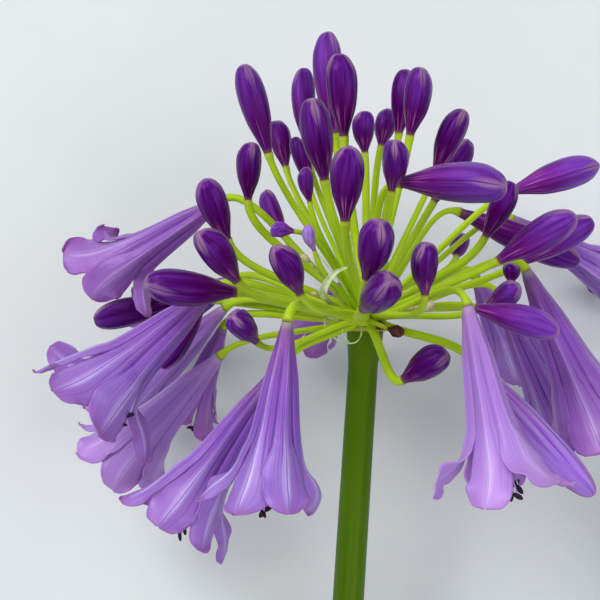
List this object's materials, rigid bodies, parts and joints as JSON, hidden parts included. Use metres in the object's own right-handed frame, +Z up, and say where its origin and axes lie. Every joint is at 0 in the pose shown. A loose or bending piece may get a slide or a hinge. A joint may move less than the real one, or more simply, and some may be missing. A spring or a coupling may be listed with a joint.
{
  "type": "agapanthus flower head",
  "caption": "Cut agapanthus umbel on a bare stalk, lying on its side: drooping lilac funnel florets below, closed violet buds above, on thin green pedicels.",
  "frame": {"origin": "on the surface that the flower lies on, below the middle of its bounding box", "axes": "+Z up from the surface; +Y along the laid stalk's plan, from the cut foot to the head; +X to the flower's right, seen from above with the head up"},
  "size_m": [0.1906, 0.258, 0.1321],
  "materials": {
    "scape_green": "satin",
    "pedicel_green": "satin",
    "floret_lilac": "satin",
    "bud_violet": "satin",
    "withered_brown": "matte"
  },
  "bodies": {
    "root": {"scape": "scape_green", "umbel": "pedicel_green", "floret_01": "floret_lilac", "floret_02": "floret_lilac", "floret_03": "floret_lilac", "floret_04": "floret_lilac", "floret_05": "floret_lilac", "floret_06": "floret_lilac", "floret_07": "floret_lilac", "floret_08": "floret_lilac", "floret_09": "floret_lilac", "floret_10": "floret_lilac", "floret_11": "floret_lilac", "floret_12": "floret_lilac", "floret_13": "floret_lilac", "floret_14": "floret_lilac", "bud_01": "bud_violet", "bud_02": "bud_violet", "bud_03": "bud_violet", "bud_04": "bud_violet", "bud_05": "bud_violet", "bud_06": "bud_violet", "bud_07": "bud_violet", "bud_08": "bud_violet", "bud_09": "bud_violet", "bud_10": "bud_violet", "bud_11": "bud_violet", "bud_12": "bud_violet", "bud_13": "bud_violet", "bud_14": "bud_violet", "bud_15": "bud_violet", "bud_16": "bud_violet", "bud_17": "bud_violet", "bud_18": "bud_violet", "bud_19": "bud_violet", "bud_20": "bud_violet", "bud_21": "bud_violet", "bud_22": "bud_violet", "bud_23": "bud_violet", "bud_24": "bud_violet", "bud_25": "bud_violet", "bud_26": "bud_violet", "bud_27": "bud_violet", "bud_28": "bud_violet", "bud_29": "bud_violet", "bud_30": "bud_violet", "bud_31": "bud_violet", "bud_32": "bud_violet", "bud_33": "bud_violet", "bud_34": "bud_violet", "bud_35": "bud_violet", "bud_36": "bud_violet", "bud_37": "bud_violet", "bud_38": "bud_violet", "bud_39": "bud_violet", "bud_40": "bud_violet", "bud_41": "bud_violet", "opening_bud_01": "bud_violet", "withered_bud": "withered_brown"}
  },
  "joints": []
}
